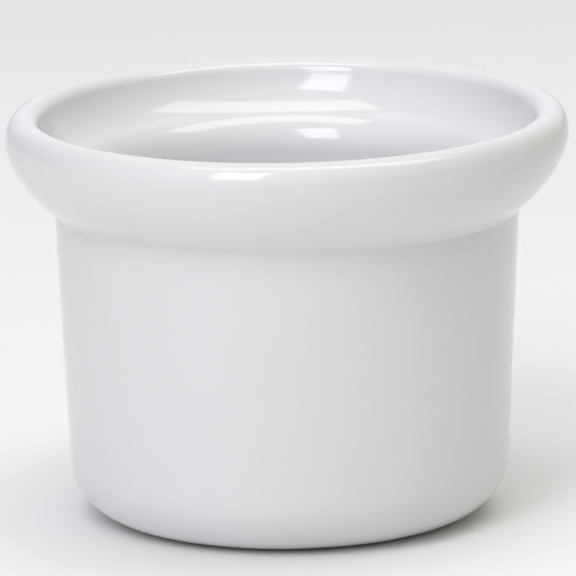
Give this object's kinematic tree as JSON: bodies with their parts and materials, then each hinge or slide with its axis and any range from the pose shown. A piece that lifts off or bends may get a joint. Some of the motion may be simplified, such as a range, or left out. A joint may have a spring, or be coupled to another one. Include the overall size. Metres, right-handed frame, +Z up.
{
  "type": "shaving bowl",
  "caption": "Round white glazed porcelain shaving bowl: tapered cup with a flared collar, rounded lip, deep open well and an unglazed foot ring.",
  "frame": {"origin": "centre of the foot ring, on the surface that the bowl stands on", "axes": "+Z up along the axis of the bowl; X and Y are any two square directions, because the bowl is round"},
  "size_m": [0.0856, 0.0856, 0.0624],
  "materials": {
    "bisque": "matte unglazed porcelain",
    "glaze": "glossy clear white glaze"
  },
  "bodies": {
    "root": {"porcelain_body": "bisque", "glaze_coat": "glaze", "recess_glaze": "glaze"}
  },
  "joints": []
}
